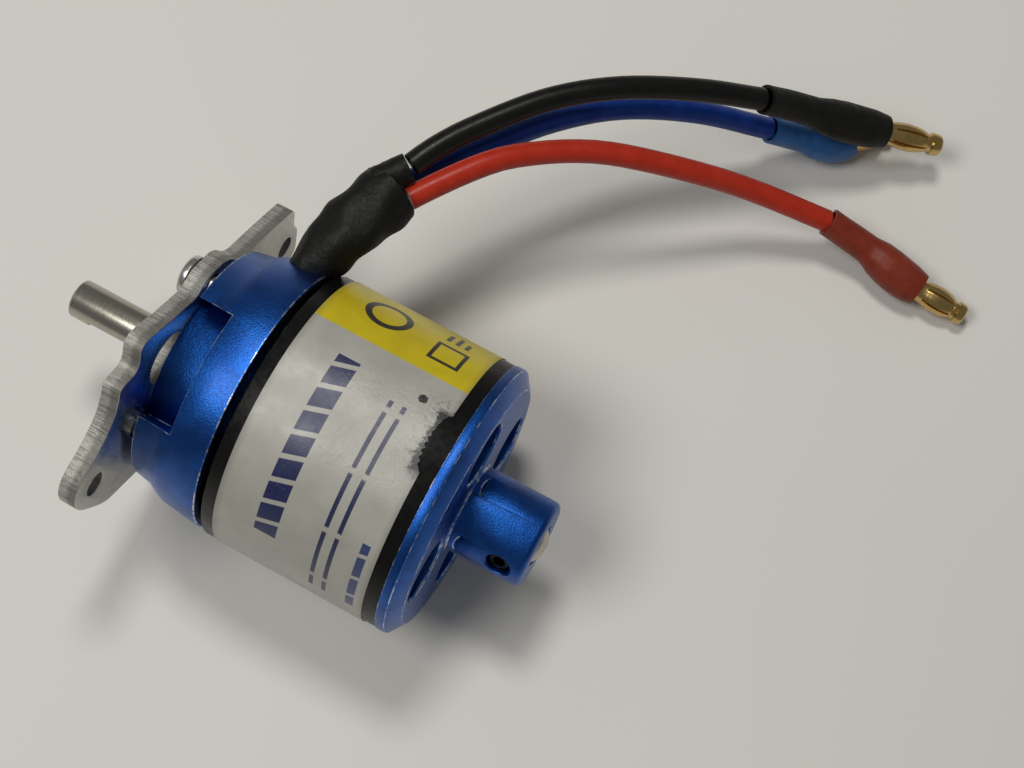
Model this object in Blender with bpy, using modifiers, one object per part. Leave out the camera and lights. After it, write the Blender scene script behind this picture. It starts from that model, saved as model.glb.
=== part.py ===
"""Brushless outrunner motor with its cross-shaped mounting plate and three leads.

Lengths in the tables are millimetres; mm() turns them into metres.
A station is a distance along the motor's axis from the front edge of the
wrap-round label, positive towards the rear hub.
Local Z of the axis empties is the motor's axis, and local X points down.
"""

import math

import bmesh
import bpy
from mathutils import Matrix, Vector

# ---------------------------------------------------------------- dimensions
AXIS_HEIGHT = 17.93            # the label's radius: the motor lies on it
AXIS_OFFSET = -2.2             # world X of station 0, so the length is centred
CLOCKING = 190.1               # turn from straight down to the wide pocket side
BODY_STEPS = 70                # facets round the can: 5 for each magnet
SMALL_STEPS = 36               # facets round the shaft and what sits on it

SHAFT_R = 2.5
SHAFT_TIP = -30.9
SHAFT_TAIL = 35.3
SHAFT_BORE_R = 2.52
DRIVE_FLAT = (-28.1, -18.0)    # stations between which the shaft is ground flat
DRIVE_FLAT_R = 2.1
DRIVE_FLAT_ANGLE = 98.0

PLATE_FRONT = -16.3
PLATE_BACK = -13.9
PLATE_EDGE = 0.12              # broken edge of the stamped plate
SCREW_CIRCLE_R = 12.4
SCREW_ANGLES = (-44.0, 53.0, 136.0, 233.0)    # clear of the pockets on both sides
SCREW_R = 1.4
SCREW_HOLE_R = 1.45
SCREW_TOP = -17.6

BASE_WIRE_STATION = -5.3
WIRE_ANGLE = -73.5
WIRE_HOLE_R = 2.7
POCKET_ANGLES = (4.5, 184.5)
POCKET_HALF_WIDTH = 7.75
POCKET_FLOOR_R = 10.9
POCKET_END = -7.9

BEARING_OUTER_R = 5.48
BEARING_BORE_R = 5.5           # the seats in the base
OUTER_RACE_BORE_R = 4.65
INNER_RACE_R = 3.35
BALL_CIRCLE_R = 4.0
BALL_R = 0.62
BALL_COUNT = 7
BEARING_LENGTH = 4.0
FRONT_BEARING = -10.6          # middle stations of the two ball bearings
REAR_BEARING = 17.2

RING_FRONT = -1.72
RING_BACK = 22.08
RING_R = 17.8
RING_BORE_R = 16.3
MAGNET_COUNT = 14
MAGNET_STEPS = 4
MAGNET_STATIONS = (0.0, 20.0)
MAGNET_OUTER_R = 16.26
MAGNET_INNER_R = 14.8

CORE_STATIONS = (1.8, 18.2)
TOOTH_COUNT = 12
TOOTH_HALF = 1.2
YOKE_R = 8.6
NECK_R = 13.2                  # where a tooth starts to widen into its shoe
SHOE_ROOT_R = 13.6
SHOE_R = 14.4
SHOE_HALF_ANGLE = 11.6
CORE_BORE_R = 6.56
TUBE_R = 6.5                   # outside of the bearing tube that carries the core

HUB_R = 5.63
HUB_END = 34.7
CAP_BACK = 24.65
CAP_INSIDE = 22.1
VENT_CIRCLE_R = 10.8
VENT_R = 4.05
VENT_ANGLES = (55.0, 145.0, 235.0, 325.0)
GRUB_STATION = 31.4
GRUB_ANGLE = 53.0
GRUB_HOLE_R = 1.55
GRUB_SEAT_R = 2.15             # flat on the shaft under the grub screw

LABEL_R = 17.93
LABEL_INNER_R = 17.83
LABEL_WIDTH = 20.3
LABEL_STEPS = (10, 77)         # first and last facet line that the label covers
TORN_EDGE = {32: 19.5, 33: 19.3, 34: 19.45, 35: 19.25, 36: 19.6}

WIRE_R = 1.5
JOINT_GAP = 0.3                # between a plug and the heat-shrink before it

CLIP_STATIONS = (-13.3, -12.8)
CLIP_R = 3.5
CLIP_BORE_R = 2.18
GROOVE_R = 2.12
SHARP_ANGLE = 28.0             # edges that turn more than this stay sharp

# Routes, in world millimetres, from the motor to the loose end.
SLEEVE_ROUTE = ((-7.5, 12.6, 24.3), (-7.4, 15.4, 25.7), (-6.6, 18.3, 26.8), (-5.6, 21.3, 27.2),
                (-4.7, 24.6, 27.1), (-3.7, 28.2, 26.6))
SLEEVE_RADII = (2.2, 2.35, 2.7, 3.1, 3.4, 3.5)
INNER_SLEEVE_ROUTE = ((-4.3, 29.7, 28.1), (-3.0, 31.5, 28.3))
BLACK_ROUTE = ((-2.8, 31.9, 28.4), (-1.3, 35.2, 28.5), (1.4, 39.8, 28.2), (7.3, 47.7, 27.5),
               (14.0, 54.0, 26.0), (22.2, 60.1, 22.5), (29.6, 65.0, 18.2))
BLUE_ROUTE = ((-4.3, 29.2, 24.2), (-1.1, 34.4, 23.7), (1.8, 38.9, 23.2), (7.6, 47.3, 21.8),
              (14.3, 54.7, 19.0), (22.7, 60.8, 15.0), (31.3, 66.1, 8.7))
RED_ROUTE = ((-1.5, 28.6, 26.2), (0.5, 31.7, 26.2), (3.5, 36.0, 26.0), (6.5, 39.7, 25.3),
             (11.8, 44.5, 23.2), (17.5, 48.2, 20.9), (26.7, 52.8, 16.0), (34.0, 56.0, 11.5),
             (43.9, 58.9, 6.6))
BLACK_PLUG = ((29.9, 65.2, 18.0), (34.1, 68.0, 14.5), (40.0, 71.0, 10.5), (45.1, 73.4, 8.2))
BLUE_PLUG = ((31.6, 66.3, 8.4), (36.3, 69.0, 5.1), (39.6, 70.9, 3.3), (41.6, 72.6, 2.85))
RED_PLUG = ((44.2, 59.0, 6.4), (50.7, 58.8, 4.3), (56.0, 57.8, 3.4), (59.0, 57.5, 3.1))
PLUG_RADII = (1.95, 2.0, 2.55, 2.6)
BLACK_TIP = (52.6, 76.3, 5.8)
BLUE_TIP = (46.0, 76.4, 2.15)
RED_TIP = (65.9, 57.4, 2.1)
BULLET_LENGTH = 7.6


def mm(value):
    return value * 0.001


# ------------------------------------------------------------------- helpers
def clear_scene():
    for old in list(bpy.data.objects):
        bpy.data.objects.remove(old, do_unlink=True)


def new_collection(name, hidden):
    group = bpy.data.collections.new(name)
    bpy.context.scene.collection.children.link(group)
    group.hide_render = hidden
    return group


def new_material(name, color, metallic, roughness):
    material = bpy.data.materials.new(name)
    material.use_nodes = True
    shader = material.node_tree.nodes["Principled BSDF"]
    shader.inputs["Base Color"].default_value = (*color, 1.0)
    shader.inputs["Metallic"].default_value = metallic
    shader.inputs["Roughness"].default_value = roughness
    return material


def new_axis(name):
    """An empty on the motor's axis, with local Z towards the rear hub."""
    empty = bpy.data.objects.new(name, None)
    PARTS.objects.link(empty)
    empty.location = (mm(AXIS_OFFSET), 0.0, mm(AXIS_HEIGHT))
    empty.rotation_euler = (0.0, math.pi / 2, 0.0)
    empty.empty_display_size = 0.01
    return empty


def add_part(name, data, material, parent=None):
    part = bpy.data.objects.new(name, data)
    PARTS.objects.link(part)
    part.parent = parent
    if not data.materials:
        data.materials.append(material)
    return part


def add_cutter(name, data, parent=None):
    cutter = bpy.data.objects.new(name, data)
    CUTTERS.objects.link(cutter)
    cutter.parent = parent
    cutter.hide_render = True
    cutter.display_type = "WIRE"
    return cutter


def radians_at(angle):
    """The turn about the axis, from straight down, of an angle read from the pocket side."""
    return math.radians(angle + CLOCKING)


def on_circle(radius, angle):
    """Local X and Y, in metres, at a radius and an angle read from the pocket side."""
    turn = radians_at(angle)
    return mm(radius) * math.cos(turn), mm(radius) * math.sin(turn)


def profile_mesh(name, profile, closed):
    """Points (radius, station) as edges in the XZ plane, for a Screw modifier."""
    points = [(mm(radius), 0.0, mm(station)) for radius, station in profile]
    edges = [(i, i + 1) for i in range(len(points) - 1)]
    if closed:
        edges.append((len(points) - 1, 0))
    mesh = bpy.data.meshes.new(name)
    mesh.from_pydata(points, edges, [])
    return mesh


def add_screw_modifier(part, steps):
    screw = part.modifiers.new("turned", "SCREW")
    screw.axis = "Z"
    screw.angle = math.tau
    screw.steps = steps
    screw.render_steps = steps
    screw.use_merge_vertices = True
    screw.merge_threshold = 0.00001
    screw.use_smooth_shade = True


def cut(part, cutter, label):
    boolean = part.modifiers.new(label, "BOOLEAN")
    boolean.operation = "DIFFERENCE"
    boolean.solver = "EXACT"
    boolean.object = cutter


def turned(name, profile, steps, material, parent, closed):
    part = add_part(name, profile_mesh(name, profile, closed), material, parent)
    add_screw_modifier(part, steps)
    return part


def turned_cutter(name, profile, steps, parent):
    cutter = add_cutter(name, profile_mesh(name, profile, False), parent)
    add_screw_modifier(cutter, steps)
    return cutter


def baked(part):
    """Replace a part's mesh with what its modifiers make of it, with smooth rounds and sharp edges."""
    graph = bpy.context.evaluated_depsgraph_get()
    mesh = bpy.data.meshes.new_from_object(part.evaluated_get(graph))
    part.modifiers.clear()
    part.data = mesh
    for polygon in mesh.polygons:
        polygon.use_smooth = True
    mesh.set_sharp_from_angle(angle=math.radians(SHARP_ANGLE))
    return part


def prism_mesh(name, outline, low, high):
    """A straight prism on an outline of (x, y) millimetres, between two stations."""
    mesh = bpy.data.meshes.new(name)
    work = bmesh.new()
    count = len(outline)
    bottom = [work.verts.new((mm(x), mm(y), mm(low))) for x, y in outline]
    top = [work.verts.new((mm(x), mm(y), mm(high))) for x, y in outline]
    work.faces.new(bottom[::-1])
    work.faces.new(top)
    for i in range(count):
        j = (i + 1) % count
        work.faces.new((bottom[i], bottom[j], top[j], top[i]))
    bmesh.ops.recalc_face_normals(work, faces=work.faces)
    work.to_mesh(mesh)
    work.free()
    return mesh


def circle_points(radius, count, center=(0.0, 0.0)):
    points = []
    for i in range(count):
        turn = math.tau * i / count
        points.append((center[0] + radius * math.cos(turn), center[1] + radius * math.sin(turn)))
    return points


def cornered_round(outline):
    """Cut every corner of a closed outline once, so that it reads as a stamped curve."""
    points = []
    for i, (x, y) in enumerate(outline):
        after_x, after_y = outline[(i + 1) % len(outline)]
        points.append((0.75 * x + 0.25 * after_x, 0.75 * y + 0.25 * after_y))
        points.append((0.25 * x + 0.75 * after_x, 0.25 * y + 0.75 * after_y))
    return points


def flat_curve(name, outlines, thickness, edge):
    """A filled flat outline with holes, extruded both ways, with its edges broken by edge."""
    curve = bpy.data.curves.new(name, "CURVE")
    curve.dimensions = "2D"
    curve.fill_mode = "BOTH"
    curve.extrude = mm(thickness / 2 - edge)
    curve.bevel_depth = mm(edge)
    curve.bevel_resolution = 0
    curve.offset = -mm(edge)
    for outline in outlines:
        spline = curve.splines.new("POLY")
        spline.points.add(len(outline) - 1)
        for point, (x, y) in zip(spline.points, outline):
            point.co = (mm(x), mm(y), 0.0, 1.0)
        spline.use_cyclic_u = True
    return curve


def smooth_route(points, count):
    """A smooth curve through the route's points, read at equal lengths."""
    knots = [Vector(point) for point in points]
    knots = [2 * knots[0] - knots[1], *knots, 2 * knots[-1] - knots[-2]]
    fine = []
    for i in range(1, len(knots) - 2):
        before, start, end, after = knots[i - 1:i + 3]
        for j in range(20):
            t = j / 20
            fine.append(0.5 * (2 * start + (end - before) * t
                               + (2 * before - 5 * start + 4 * end - after) * t ** 2
                               + (3 * start - before - 3 * end + after) * t ** 3))
    fine.append(knots[-2])
    lengths = [0.0]
    for a, b in zip(fine, fine[1:]):
        lengths.append(lengths[-1] + (b - a).length)
    route = []
    for k in range(count):
        wanted = lengths[-1] * k / (count - 1)
        i = 0
        while i < len(lengths) - 2 and lengths[i + 1] < wanted:
            i += 1
        part = (wanted - lengths[i]) / (lengths[i + 1] - lengths[i])
        route.append(fine[i].lerp(fine[i + 1], part))
    return route


def tube_curve(name, points, radii):
    """A round tube along world points; radii give its own radius at each point."""
    curve = bpy.data.curves.new(name, "CURVE")
    curve.dimensions = "3D"
    curve.fill_mode = "FULL"
    curve.bevel_depth = mm(1.0)
    curve.bevel_resolution = 2
    curve.use_fill_caps = True
    spline = curve.splines.new("POLY")
    spline.points.add(len(points) - 1)
    for point, place, radius in zip(spline.points, points, radii):
        point.co = (mm(place[0]), mm(place[1]), mm(place[2]), 1.0)
        point.radius = radius
    spline.use_smooth = True
    return curve


def read_along(values, count):
    """Values spread evenly along a route, read at count places."""
    read = []
    for k in range(count):
        place = (len(values) - 1) * k / (count - 1)
        i = min(int(place), len(values) - 2)
        read.append(values[i] + (values[i + 1] - values[i]) * (place - i))
    return read


def add_tube(name, route, radii, count, material):
    points = smooth_route(route, count)
    curve = tube_curve(name, points, read_along(radii, count))
    return add_part(name, curve, material)


# ------------------------------------------------------------ mounting plate
# The outline in the plate's plane: first number towards the pocket side, second a quarter turn on.
ARM_ABOVE = ((-1.0, 15.9), (2.0, 18.6), (3.8, 20.2), (7.0, 21.1), (11.2, 22.0), (13.9, 21.3),
             (15.2, 20.0), (15.7, 18.5))
WAIST = ((15.4, 15.5), (15.6, 12.8), (16.5, 10.2), (17.6, 8.9), (18.3, 8.1))
ARM_NEAR = ((19.3, 7.3), (18.9, 6.2), (17.8, 5.0), (17.6, 4.2), (18.3, 3.2), (19.6, 2.4), (19.9, 1.6),
            (19.6, 0.6), (18.0, -0.8))
NEAR_SIDE = ((16.0, -2.2), (14.2, -4.0), (12.4, -5.5), (11.5, -6.5))
SCREW_LOBE = ((11.3, -8.2), (11.2, -9.2), (10.2, -10.5), (9.4, -11.2), (8.9, -11.9), (7.9, -12.5),
              (6.7, -12.9), (4.8, -13.1), (3.3, -13.7))
ARM_BELOW = ((2.5, -14.3), (0.1, -16.8), (-2.6, -19.4), (-5.0, -21.6), (-6.7, -23.07), (-9.6, -21.3),
             (-11.7, -21.5), (-13.6, -20.4), (-15.2, -19.5), (-15.7, -18.5))
ARM_FAR = ((-19.3, -7.3), (-18.9, -6.2), (-17.8, -5.0), (-17.6, -4.2), (-17.9, -3.2), (-18.35, -2.3),
           (-18.4, -1.5), (-18.1, -0.5), (-17.6, 0.8))
PLATE_HOLES = ((10.5, 1.4, 3.4), (-10.5, -1.4, 3.4), (10.9, 18.3, 1.55), (-10.9, -18.3, 1.55))
PLATE_CENTRE_R = 4.5
PLATE_SCREW_HOLE_R = 1.7


def opposite(points):
    return tuple((-x, -y) for x, y in points)


def make_plate():
    outline = (ARM_ABOVE + WAIST + ARM_NEAR + NEAR_SIDE + SCREW_LOBE + ARM_BELOW
               + opposite(WAIST) + ARM_FAR + opposite(NEAR_SIDE) + opposite(SCREW_LOBE))
    outlines = [cornered_round(outline), circle_points(PLATE_CENTRE_R, 28)]
    for x, y, radius in PLATE_HOLES:
        outlines.append(circle_points(radius, 24, (x, y)))
    for angle in SCREW_ANGLES:
        turn = math.radians(angle)
        center = (SCREW_CIRCLE_R * math.cos(turn), SCREW_CIRCLE_R * math.sin(turn))
        outlines.append(circle_points(PLATE_SCREW_HOLE_R, 14, center))
    curve = flat_curve("mounting_plate", outlines, PLATE_BACK - PLATE_FRONT, PLATE_EDGE)
    plate = add_part("mounting_plate", curve, MATERIALS["bare_aluminium"], FIXED_AXIS)
    plate.location = (0.0, 0.0, mm((PLATE_BACK + PLATE_FRONT) / 2))
    plate.rotation_euler = (0.0, 0.0, radians_at(0.0))


# -------------------------------------------------------------- mount screws
def make_mount_screws():
    """Four pan-head screws with cross recesses; their origins are on their own axes."""
    under_head = PLATE_FRONT - 0.03
    profile = ((0.0, -9.2), (SCREW_R, -9.2), (SCREW_R, under_head), (2.6, under_head),
               (2.6, -16.85), (2.3, -17.25), (1.6, -17.5), (0.0, SCREW_TOP))
    first = None
    for number, angle in enumerate(SCREW_ANGLES, start=1):
        x, y = on_circle(SCREW_CIRCLE_R, angle)
        name = f"mount_screw_{number}"
        if first is None:
            first = turned(name, profile, 20, MATERIALS["zinc_steel"], FIXED_AXIS, False)
            first.location = (x, y, 0.0)
            for turn in (0.0, math.pi / 2):
                slot = box_mesh("recess", (2.6, 0.55, 1.4))
                cutter = add_cutter(f"recess_{round(turn)}", slot, FIXED_AXIS)
                cutter.location = (x, y, mm(SCREW_TOP))
                cutter.rotation_euler = (0.0, 0.0, turn + 0.4)
                cut(first, cutter, f"recess {round(turn)}")
            baked(first)
        else:
            screw = add_part(name, first.data, MATERIALS["zinc_steel"], FIXED_AXIS)
            screw.location = (x, y, 0.0)


def box_mesh(name, size):
    mesh = bpy.data.meshes.new(name)
    work = bmesh.new()
    bmesh.ops.create_cube(work, size=1.0)
    bmesh.ops.scale(work, vec=[mm(side) for side in size], verts=work.verts)
    work.to_mesh(mesh)
    work.free()
    return mesh


# --------------------------------------------------------------- stator base
def make_base():
    """The fixed blue base: cup, flange, pockets, bearing tube."""
    profile = ((TUBE_R, 19.2), (TUBE_R, -6.6), (16.3, -6.6), (16.6, -2.73), (17.5, -2.73),
               (17.6, -2.85), (17.0, -8.2), (15.9, -10.5), (15.5, -12.8), (15.4, -12.9),
               (13.0, -12.9), (13.0, -13.88), (BEARING_BORE_R, -13.88), (BEARING_BORE_R, -8.6),
               (4.9, -8.6), (4.9, 15.2), (BEARING_BORE_R, 15.2), (BEARING_BORE_R, 19.2))
    base = turned("stator_base", profile, BODY_STEPS, MATERIALS["blue_anodised"], FIXED_AXIS, True)
    for number, angle in enumerate(POCKET_ANGLES, start=1):
        edge = math.asin(POCKET_HALF_WIDTH / POCKET_FLOOR_R)
        outline = []
        for i in range(13):
            turn = -edge + 2 * edge * i / 12
            outline.append((POCKET_FLOOR_R * math.cos(turn), POCKET_FLOOR_R * math.sin(turn)))
        outline += [(20.0, POCKET_HALF_WIDTH), (20.0, -POCKET_HALF_WIDTH)]
        pocket = prism_mesh(f"pocket_{number}", outline, -15.0, POCKET_END)
        cutter = add_cutter(f"pocket_{number}", pocket, FIXED_AXIS)
        cutter.rotation_euler = (0.0, 0.0, radians_at(angle))
        cut(base, cutter, f"pocket {number}")
    for number, angle in enumerate(SCREW_ANGLES, start=1):
        hole = ((0.0, -8.7), (SCREW_HOLE_R, -8.9), (SCREW_HOLE_R, -15.0), (0.0, -15.0))
        cutter = turned_cutter(f"base_screw_hole_{number}", hole, 24, FIXED_AXIS)
        cutter.location = (*on_circle(SCREW_CIRCLE_R, angle), 0.0)
        cut(base, cutter, f"screw hole {number}")
    hole = ((0.0, 20.0), (WIRE_HOLE_R, 20.0), (WIRE_HOLE_R, 12.0), (0.0, 12.0))
    cutter = turned_cutter("wire_hole", hole, 32, FIXED_AXIS)
    cutter.location = (0.0, 0.0, mm(BASE_WIRE_STATION))
    cutter.rotation_euler = (0.0, math.pi / 2, radians_at(WIRE_ANGLE))
    cut(base, cutter, "wire hole")
    baked(base)


# --------------------------------------------------------- stator core, coils
def make_core():
    """The laminated core: a ring of twelve T-shaped teeth."""
    shoe_half = math.radians(SHOE_HALF_ANGLE)
    outline = []
    for tooth in range(TOOTH_COUNT):
        middle = math.tau * tooth / TOOTH_COUNT
        root = math.asin(TOOTH_HALF / YOKE_R)
        neck = math.asin(TOOTH_HALF / NECK_R)
        corners = ((YOKE_R, -root), (NECK_R, -neck), (SHOE_ROOT_R, -shoe_half), (SHOE_R, -shoe_half),
                   (SHOE_R, -shoe_half / 2), (SHOE_R, 0.0), (SHOE_R, shoe_half / 2),
                   (SHOE_R, shoe_half), (SHOE_ROOT_R, shoe_half), (NECK_R, neck), (YOKE_R, root))
        for radius, turn in corners:
            outline.append((radius * math.cos(middle + turn), radius * math.sin(middle + turn)))
        between = middle + math.pi / TOOTH_COUNT
        outline.append((YOKE_R * math.cos(between), YOKE_R * math.sin(between)))
    low, high = CORE_STATIONS
    curve = flat_curve("stator_core", [outline, circle_points(CORE_BORE_R, BODY_STEPS)], high - low, 0.0)
    core = add_part("stator_core", curve, MATERIALS["laminated_steel"], FIXED_AXIS)
    core.location = (0.0, 0.0, mm((low + high) / 2))


def coil_mesh():
    """One winding: a wedge-shaped loop round a tooth that points along X."""
    low, high = CORE_STATIONS
    half_length = (high - low) / 2
    loops = []
    for radius, half_width, half_height, corner in (
            (8.95, TOOTH_HALF + 0.15, half_length + 0.15, 0.2), (8.95, 2.2, half_length + 1.0, 0.8),
            (12.85, 3.15, half_length + 1.75, 1.2), (12.85, TOOTH_HALF + 0.15, half_length + 0.15, 0.2)):
        w, h = half_width, half_height
        loops.append([(radius, y, z) for y, z in (
            (w, h - corner), (w - corner, h), (-w + corner, h), (-w, h - corner),
            (-w, -h + corner), (-w + corner, -h), (w - corner, -h), (w, -h + corner))])
    mesh = bpy.data.meshes.new("coil")
    work = bmesh.new()
    rings = [[work.verts.new([mm(value) for value in point]) for point in loop] for loop in loops]
    for ring, after in zip(rings, rings[1:] + rings[:1]):
        for i in range(8):
            j = (i + 1) % 8
            work.faces.new((ring[i], ring[j], after[j], after[i]))
    bmesh.ops.recalc_face_normals(work, faces=work.faces)
    work.to_mesh(mesh)
    work.free()
    return mesh


def make_coils():
    mesh = coil_mesh()
    low, high = CORE_STATIONS
    for number in range(TOOTH_COUNT):
        coil = add_part(f"coil_{number + 1:02d}", mesh, MATERIALS["copper_enamel"], FIXED_AXIS)
        coil.location = (0.0, 0.0, mm((low + high) / 2))
        coil.rotation_euler = (0.0, 0.0, math.tau * number / TOOTH_COUNT)


# ------------------------------------------------------------------ bearings
def make_bearing(side, middle):
    """A ball bearing: fixed outer race, inner race on the shaft, and its cage with seven balls."""
    low = middle - BEARING_LENGTH / 2
    high = middle + BEARING_LENGTH / 2
    steel = MATERIALS["bearing_steel"]
    outer = ((OUTER_RACE_BORE_R, high), (BEARING_OUTER_R, high), (BEARING_OUTER_R, low),
             (OUTER_RACE_BORE_R, low))
    turned(f"{side}_bearing_outer_race", outer, SMALL_STEPS, steel, FIXED_AXIS, True)
    inner = ((SHAFT_BORE_R, high), (INNER_RACE_R, high), (INNER_RACE_R, low), (SHAFT_BORE_R, low))
    turned(f"{side}_bearing_inner_race", inner, SMALL_STEPS, steel, ROTOR_AXIS, True)
    cage_axis = new_axis(f"{side}_cage_axis")
    cage_axis.location.x += mm(middle)
    cage_profile = ((3.85, 0.3), (4.15, 0.3), (4.15, -0.3), (3.85, -0.3))
    cage = turned(f"{side}_bearing_balls", cage_profile, 28, steel, cage_axis, True)
    balls = bmesh.new()
    for ball in range(BALL_COUNT):
        turn = math.tau * ball / BALL_COUNT
        center = (mm(BALL_CIRCLE_R) * math.cos(turn), mm(BALL_CIRCLE_R) * math.sin(turn), 0.0)
        place = Matrix.Translation(center)
        bmesh.ops.create_icosphere(balls, subdivisions=2, radius=mm(BALL_R), matrix=place)
    mesh = bpy.data.meshes.new("ball_set")
    balls.to_mesh(mesh)
    balls.free()
    ball_set = add_cutter(f"{side}_ball_set", mesh, cage_axis)
    union = cage.modifiers.new("balls", "BOOLEAN")
    union.operation = "UNION"
    union.solver = "EXACT"
    union.object = ball_set
    baked(cage)


# --------------------------------------------------------------------- rotor
def make_shaft():
    """Ground steel shaft: drive flat at the front, clip groove, seat for the grub screw."""
    profile = ((0.0, SHAFT_TAIL), (1.5, 35.25), (2.15, 35.1), (SHAFT_R, 34.8), (SHAFT_R, -12.72),
               (GROOVE_R, -12.72), (GROOVE_R, -13.38), (SHAFT_R, -13.38), (SHAFT_R, -30.6),
               (2.2, SHAFT_TIP), (0.0, SHAFT_TIP))
    shaft = turned("shaft", profile, SMALL_STEPS, MATERIALS["ground_steel"], ROTOR_AXIS, False)
    low, high = DRIVE_FLAT
    flats = (("drive_flat", DRIVE_FLAT_R, DRIVE_FLAT_ANGLE, low, high),
             ("grub_seat", GRUB_SEAT_R, GRUB_ANGLE, GRUB_STATION - 2.2, GRUB_STATION + 2.2))
    for name, radius, angle, start, end in flats:
        cutter = add_cutter(name, box_mesh(name, (2.0, 8.0, end - start)), ROTOR_AXIS)
        cutter.location = (*on_circle(radius + 1.0, angle), mm((start + end) / 2))
        cutter.rotation_euler = (0.0, 0.0, radians_at(angle))
        cut(shaft, cutter, name)
    baked(shaft)


def make_bell_cap():
    """The blue rear cap of the bell, with its hub, four vents and threaded cross hole."""
    profile = ((2.9, HUB_END), (4.85, HUB_END), (5.4, 34.5), (HUB_R, 34.0), (HUB_R, CAP_BACK),
               (15.9, CAP_BACK), (17.85, 23.3), (17.9, 23.15), (17.9, CAP_INSIDE),
               (16.24, CAP_INSIDE), (16.24, 21.0), (15.2, 21.0), (15.2, CAP_INSIDE),
               (4.2, CAP_INSIDE), (4.2, 20.3), (SHAFT_BORE_R, 20.3), (SHAFT_BORE_R, 34.35))
    bell = turned("bell_cap", profile, BODY_STEPS, MATERIALS["blue_anodised"], ROTOR_AXIS, True)
    vent = ((0.0, 26.0), (VENT_R + 1.55, 26.0), (VENT_R, 24.45), (VENT_R, 21.5), (0.0, 21.5))
    for number, angle in enumerate(VENT_ANGLES, start=1):
        cutter = turned_cutter(f"vent_{number}", vent, 32, ROTOR_AXIS)
        cutter.location = (*on_circle(VENT_CIRCLE_R, angle), 0.0)
        cut(bell, cutter, f"vent {number}")
    hole = ((0.0, 7.0), (3.2, 7.0), (GRUB_HOLE_R, 5.3), (GRUB_HOLE_R, 1.0), (0.0, 1.0))
    cutter = turned_cutter("grub_hole", hole, 24, ROTOR_AXIS)
    cutter.location = (0.0, 0.0, mm(GRUB_STATION))
    cutter.rotation_euler = (0.0, math.pi / 2, radians_at(GRUB_ANGLE))
    cut(bell, cutter, "grub hole")
    baked(bell)


def make_grub_screw():
    """A socket set screw across the hub, seated on the shaft's flat."""
    profile = ((0.0, 4.9), (1.2, 4.9), (1.5, 4.6), (1.5, 2.6), (1.1, 2.18), (0.0, 2.18))
    grub = turned("grub_screw", profile, 24, MATERIALS["black_steel"], ROTOR_AXIS, False)
    grub.location = (0.0, 0.0, mm(GRUB_STATION))
    grub.rotation_euler = (0.0, math.pi / 2, radians_at(GRUB_ANGLE))
    socket = prism_mesh("grub_socket", circle_points(0.87, 6), 3.6, 5.5)
    cutter = add_cutter("grub_socket", socket, ROTOR_AXIS)
    cutter.location = grub.location
    cutter.rotation_euler = grub.rotation_euler
    cut(grub, cutter, "hex socket")
    baked(grub)


def make_ring():
    """The steel tube of the bell that closes the magnets' flux."""
    profile = ((RING_BORE_R, RING_BACK), (RING_R, RING_BACK), (RING_R, RING_FRONT + 0.15),
               (RING_R - 0.15, RING_FRONT), (RING_BORE_R, RING_FRONT))
    ring = turned("flux_ring", profile, BODY_STEPS, MATERIALS["black_steel"], ROTOR_AXIS, True)
    baked(ring)


def arc_point(radius, step):
    turn = math.tau * step / BODY_STEPS
    return mm(radius) * math.cos(turn), mm(radius) * math.sin(turn)


def magnet_mesh():
    """A curved block whose facets follow the ring's."""
    mesh = bpy.data.meshes.new("magnet")
    work = bmesh.new()
    low, high = MAGNET_STATIONS
    rows = []
    for step in range(MAGNET_STEPS + 1):
        row = []
        for radius, station in ((MAGNET_INNER_R, low), (MAGNET_OUTER_R, low),
                                (MAGNET_OUTER_R, high), (MAGNET_INNER_R, high)):
            row.append(work.verts.new((*arc_point(radius, step), mm(station))))
        rows.append(row)
    for row, after in zip(rows, rows[1:]):
        for i in range(4):
            j = (i + 1) % 4
            work.faces.new((row[i], row[j], after[j], after[i]))
    work.faces.new(rows[0])
    work.faces.new(rows[-1])
    bmesh.ops.recalc_face_normals(work, faces=work.faces)
    work.to_mesh(mesh)
    work.free()
    return mesh


def make_magnets():
    mesh = magnet_mesh()
    for number in range(MAGNET_COUNT):
        magnet = add_part(f"magnet_{number + 1:02d}", mesh, MATERIALS["magnet_nickel"], ROTOR_AXIS)
        magnet.rotation_euler = (0.0, 0.0, math.tau * number / MAGNET_COUNT)


def make_label():
    """The wrap-round label: a thin shell with a torn place on its rear edge."""
    mesh = bpy.data.meshes.new("rotor_label")
    work = bmesh.new()
    first, last = LABEL_STEPS
    rows = []
    for step in range(first, last + 1):
        edge = TORN_EDGE.get(step, LABEL_WIDTH)
        row = []
        for radius, station in ((LABEL_INNER_R, 0.0), (LABEL_R, 0.0), (LABEL_R, edge),
                                (LABEL_INNER_R, edge)):
            row.append(work.verts.new((*arc_point(radius, step), mm(station))))
        rows.append(row)
    for row, after in zip(rows, rows[1:]):
        for i in range(4):
            j = (i + 1) % 4
            work.faces.new((row[i], row[j], after[j], after[i]))
    work.faces.new(rows[0])
    work.faces.new(rows[-1])
    bmesh.ops.recalc_face_normals(work, faces=work.faces)
    work.to_mesh(mesh)
    work.free()
    add_part("rotor_label", mesh, MATERIALS["label_paper"], ROTOR_AXIS)


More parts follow.
